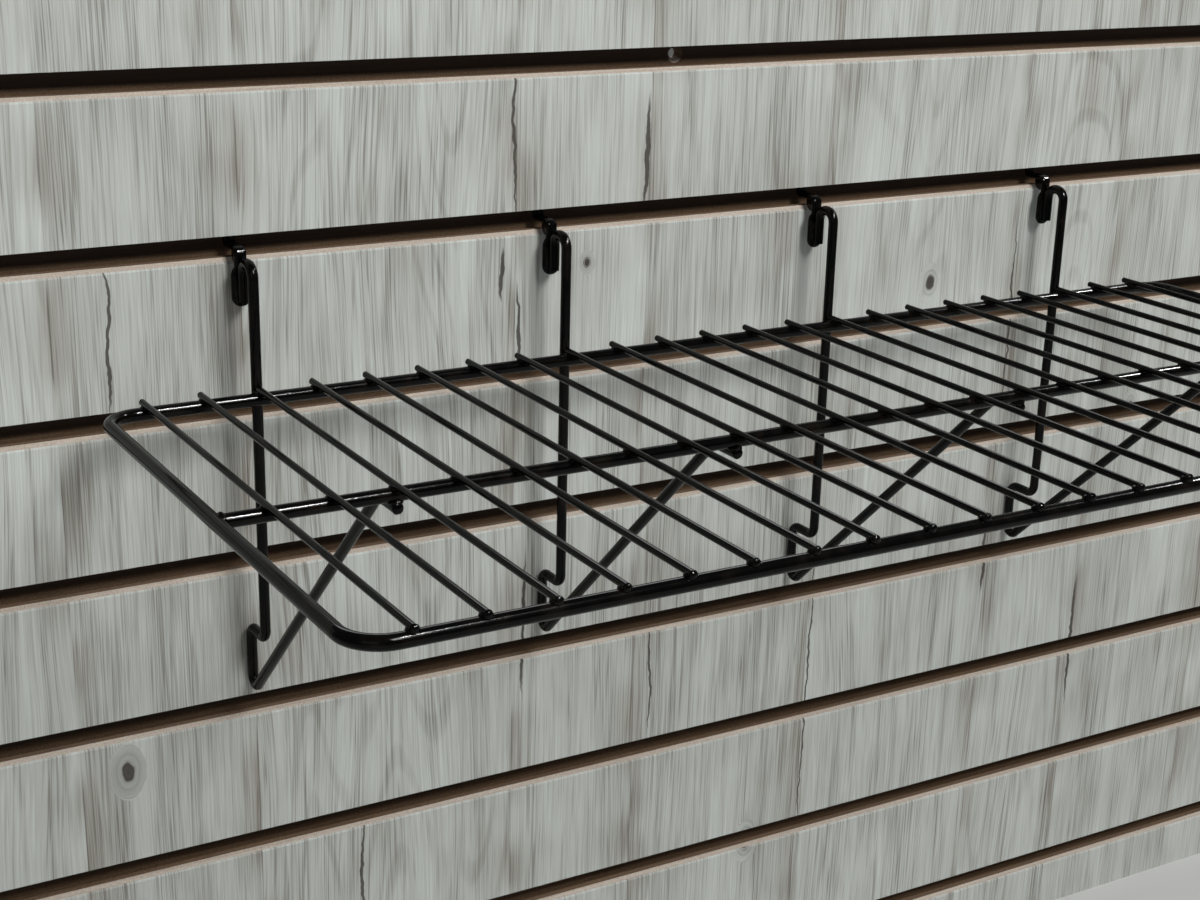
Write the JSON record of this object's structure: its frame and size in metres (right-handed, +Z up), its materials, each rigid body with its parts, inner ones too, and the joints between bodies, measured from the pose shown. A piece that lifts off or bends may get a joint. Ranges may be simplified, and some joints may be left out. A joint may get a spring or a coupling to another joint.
{
  "type": "slatwall panel with wire shelf",
  "caption": "Slotted wall panel with grey oak-effect laminate slats, T-slots, and a black wire shelf hooked into its second slot.",
  "frame": {"origin": "centre of the panel's flat back face, on the wall", "axes": "+X along the slots, +Z up, +Y into the wall, so the shelf stands out along -Y"},
  "size_m": [1.2, 0.323, 0.6],
  "materials": {
    "oak_laminate": "matt grey oak-effect laminate, vertical grain",
    "mdf": "raw brown fibreboard, paler on the eased lip",
    "back_paper": "plain matt balancing sheet",
    "black_wire": "semi-gloss black powder coat on steel wire"
  },
  "bodies": {
    "panel": {"core_board": "mdf", "back_sheet": "back_paper", "face_strip_1": "oak_laminate", "face_strip_2": "oak_laminate", "face_strip_3": "oak_laminate", "face_strip_4": "oak_laminate", "face_strip_5": "oak_laminate", "face_strip_6": "oak_laminate", "face_strip_7": "oak_laminate", "face_strip_8": "oak_laminate", "face_strip_9": "oak_laminate"},
    "hook_line": {"hook_saddle_1": "black_wire", "hook_saddle_2": "black_wire", "hook_saddle_3": "black_wire", "hook_saddle_4": "black_wire"},
    "shelf": {"rim_wire": "black_wire", "centre_rod": "black_wire", "cross_wire_1": "black_wire", "cross_wire_2": "black_wire", "cross_wire_3": "black_wire", "cross_wire_4": "black_wire", "cross_wire_5": "black_wire", "cross_wire_6": "black_wire", "cross_wire_7": "black_wire", "cross_wire_8": "black_wire", "cross_wire_9": "black_wire", "cross_wire_10": "black_wire", "cross_wire_11": "black_wire", "cross_wire_12": "black_wire", "cross_wire_13": "black_wire", "cross_wire_14": "black_wire", "cross_wire_15": "black_wire", "cross_wire_16": "black_wire", "cross_wire_17": "black_wire", "cross_wire_18": "black_wire", "cross_wire_19": "black_wire", "cross_wire_20": "black_wire", "cross_wire_21": "black_wire", "cross_wire_22": "black_wire", "cross_wire_23": "black_wire", "bracket_wire_1": "black_wire", "bracket_wire_2": "black_wire", "bracket_wire_3": "black_wire", "bracket_wire_4": "black_wire", "hook_1": "black_wire", "hook_2": "black_wire", "hook_3": "black_wire", "hook_4": "black_wire"}
  },
  "joints": [
    {"name": "shelf_slide", "type": "slide", "parent": "panel", "child": "hook_line", "axis": [1, 0, 0], "range_m": [-0.285, 0.285]},
    {"name": "shelf_tilt", "type": "hinge", "parent": "hook_line", "child": "shelf", "pos_m": [0, -0.0218, 0.1847], "axis": [-1, 0, 0], "range_deg": [0, 20]}
  ]
}
